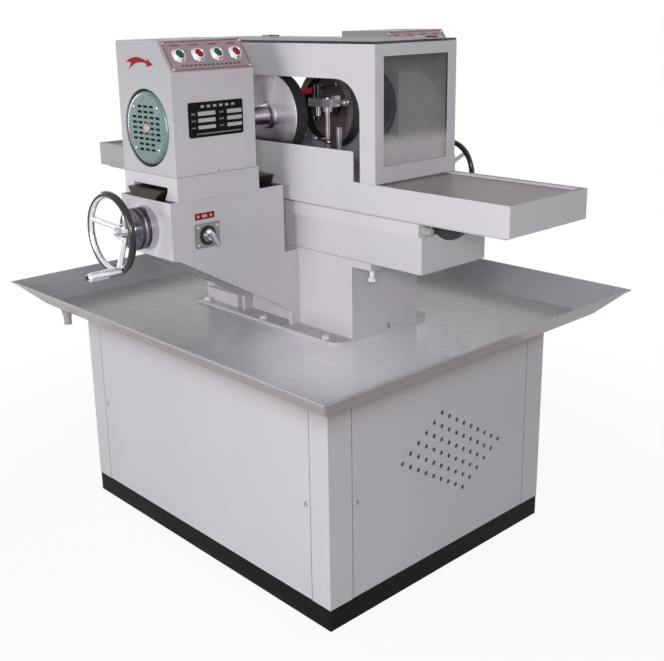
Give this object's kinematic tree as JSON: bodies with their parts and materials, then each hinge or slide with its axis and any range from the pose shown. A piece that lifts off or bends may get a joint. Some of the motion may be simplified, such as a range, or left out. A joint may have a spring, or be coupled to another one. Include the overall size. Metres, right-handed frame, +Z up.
{
  "type": "double-end wet face grinder",
  "caption": "Free-standing wet face grinder with opposed cup wheels on hand-fed heads, a sliding guarded table with a clamp fixture, a drip tray and a panelled cabinet.",
  "frame": {"origin": "centre of the base on the floor, under the crossing of the spindle line and the table travel", "axes": "+X along the table travel towards the vented end panel, +Y along the spindles towards the far head, +Z up"},
  "size_m": [1.411, 1.246, 1.185],
  "materials": {
    "painted_grey": "smooth satin enamel",
    "painted_cabinet": "smooth satin enamel",
    "painted_black": "semi-gloss enamel",
    "hammered_teal": "semi-gloss enamel",
    "machine_iron": "ground",
    "bright_steel": "turned",
    "polished_chrome": "polished",
    "wheel_metal": "spun, with an abrasive rim",
    "smoked_acrylic": "smoked, glossy",
    "clear_acrylic": "clear, glossy",
    "red_plastic": "glossy",
    "green_plastic": "glossy",
    "panel_plate": "printed, satin",
    "black_plate": "anodised black"
  },
  "bodies": {
    "machine_base": {"plinth": "painted_black", "cabinet_frame": "painted_grey", "front_panel": "painted_grey", "rear_panel": "painted_grey", "vent_panel": "painted_cabinet", "side_panel": "painted_cabinet", "panel_screws": "bright_steel", "drip_tray": "painted_cabinet", "bed_casting": "painted_grey", "guide_rails": "bright_steel", "near_arm": "painted_grey", "far_arm": "painted_grey", "foot_bolts": "bright_steel", "dial_flanges": "machine_iron", "switch_plate": "machine_iron", "feed_motor": "machine_iron", "coolant_tank": "painted_cabinet", "coolant_pump": "machine_iron", "control_box": "painted_cabinet"},
    "table": {"work_table": "painted_grey", "feed_rack": "bright_steel", "guard_box": "painted_grey", "guard_windows": "clear_acrylic", "splash_boards": "painted_grey", "fixture_base": "machine_iron", "fixture_clamp": "bright_steel"},
    "lid": {"guard_lid": "smoked_acrylic"},
    "clamp_handle": {"clamp_lever": "red_plastic"},
    "switch_handle": {"switch_lever": "polished_chrome"},
    "pinion": {"feed_pinion": "bright_steel"},
    "near_head": {"near_slide": "painted_grey", "near_housing": "painted_grey", "near_motor": "machine_iron", "near_cowl": "hammered_teal", "near_button_plate": "panel_plate", "name_plate": "black_plate"},
    "near_rotor": {"near_spindle": "bright_steel", "near_cup_wheel": "wheel_metal", "near_fan": "machine_iron"},
    "near_feed_wheel": {"near_handwheel": "polished_chrome"},
    "near_crank": {"near_grip": "polished_chrome"},
    "near_push_1": {"near_button_1": "green_plastic"},
    "near_push_2": {"near_button_2": "red_plastic"},
    "near_push_3": {"near_button_3": "green_plastic"},
    "near_push_4": {"near_button_4": "red_plastic"},
    "far_head": {"far_slide": "painted_grey", "far_housing": "painted_grey", "far_motor": "machine_iron", "far_cowl": "hammered_teal", "far_button_plate": "panel_plate"},
    "far_rotor": {"far_spindle": "bright_steel", "far_cup_wheel": "wheel_metal", "far_fan": "machine_iron"},
    "far_feed_wheel": {"far_handwheel": "polished_chrome"},
    "far_crank": {"far_grip": "polished_chrome"},
    "far_push_1": {"far_button_1": "green_plastic"},
    "far_push_2": {"far_button_2": "red_plastic"},
    "far_push_3": {"far_button_3": "green_plastic"},
    "far_push_4": {"far_button_4": "red_plastic"}
  },
  "joints": [
    {"name": "near_feed_turn", "type": "hinge", "parent": "machine_base", "child": "near_feed_wheel", "pos_m": [0, -0.5, 0.805], "axis": [0, 1, 0], "range_deg": [-350, 3230]},
    {"name": "near_head_slide", "type": "slide", "parent": "machine_base", "child": "near_head", "axis": [0, 1, 0], "range_m": [-0.004, 0.036]},
    {"name": "near_crank_turn", "type": "hinge", "parent": "near_feed_wheel", "child": "near_crank", "pos_m": [0.03803, -0.58, 0.73348], "axis": [0, 1, 0], "continuous": true},
    {"name": "near_spindle_turn", "type": "hinge", "parent": "near_head", "child": "near_rotor", "pos_m": [0, -0.3, 1.01], "axis": [0, 1, 0], "continuous": true},
    {"name": "near_push_1_press", "type": "slide", "parent": "near_head", "child": "near_push_1", "axis": [-0.8155, 0, -0.5787], "range_m": [0, 0.003], "stiffness_N_per_m": 300},
    {"name": "near_push_2_press", "type": "slide", "parent": "near_head", "child": "near_push_2", "axis": [-0.8155, 0, -0.5787], "range_m": [0, 0.003], "stiffness_N_per_m": 300},
    {"name": "near_push_3_press", "type": "slide", "parent": "near_head", "child": "near_push_3", "axis": [-0.8155, 0, -0.5787], "range_m": [0, 0.003], "stiffness_N_per_m": 300},
    {"name": "near_push_4_press", "type": "slide", "parent": "near_head", "child": "near_push_4", "axis": [-0.8155, 0, -0.5787], "range_m": [0, 0.003], "stiffness_N_per_m": 300},
    {"name": "far_feed_turn", "type": "hinge", "parent": "machine_base", "child": "far_feed_wheel", "pos_m": [0, 0.5, 0.805], "axis": [0, -1, 0], "range_deg": [-350, 3230]},
    {"name": "far_head_slide", "type": "slide", "parent": "machine_base", "child": "far_head", "axis": [0, -1, 0], "range_m": [-0.004, 0.036]},
    {"name": "far_crank_turn", "type": "hinge", "parent": "far_feed_wheel", "child": "far_crank", "pos_m": [0.03803, 0.58, 0.73348], "axis": [0, -1, 0], "continuous": true},
    {"name": "far_spindle_turn", "type": "hinge", "parent": "far_head", "child": "far_rotor", "pos_m": [0, 0.3, 1.01], "axis": [0, -1, 0], "continuous": true},
    {"name": "far_push_1_press", "type": "slide", "parent": "far_head", "child": "far_push_1", "axis": [-0.8155, 0, -0.5787], "range_m": [0, 0.003], "stiffness_N_per_m": 300},
    {"name": "far_push_2_press", "type": "slide", "parent": "far_head", "child": "far_push_2", "axis": [-0.8155, 0, -0.5787], "range_m": [0, 0.003], "stiffness_N_per_m": 300},
    {"name": "far_push_3_press", "type": "slide", "parent": "far_head", "child": "far_push_3", "axis": [-0.8155, 0, -0.5787], "range_m": [0, 0.003], "stiffness_N_per_m": 300},
    {"name": "far_push_4_press", "type": "slide", "parent": "far_head", "child": "far_push_4", "axis": [-0.8155, 0, -0.5787], "range_m": [0, 0.003], "stiffness_N_per_m": 300},
    {"name": "table_slide", "type": "slide", "parent": "machine_base", "child": "table", "axis": [1, 0, 0], "range_m": [-0.2, 0.2]},
    {"name": "pinion_turn", "type": "hinge", "parent": "machine_base", "child": "pinion", "pos_m": [0, 0, 0.773], "axis": [0, 1, 0], "range_deg": [-320, 320]},
    {"name": "lid_hinge", "type": "hinge", "parent": "table", "child": "lid", "pos_m": [0, 0.132, 1.173], "axis": [-1, 0, 0], "range_deg": [0, 95]},
    {"name": "clamp_turn", "type": "hinge", "parent": "table", "child": "clamp_handle", "pos_m": [0.054, 0, 1.03], "axis": [0, 0, 1], "range_deg": [-180, 180]},
    {"name": "switch_turn", "type": "hinge", "parent": "machine_base", "child": "switch_handle", "pos_m": [0.1, -0.361, 0.787], "axis": [1, 0, 0], "range_deg": [0, 90]}
  ],
  "couplings": [
    {"joint": "near_head_slide", "follows": "near_feed_turn", "m_per_rad": 0.00063662},
    {"joint": "far_head_slide", "follows": "far_feed_turn", "m_per_rad": 0.00063662},
    {"joint": "pinion_turn", "follows": "table_slide", "rad_per_m": 27.778}
  ]
}
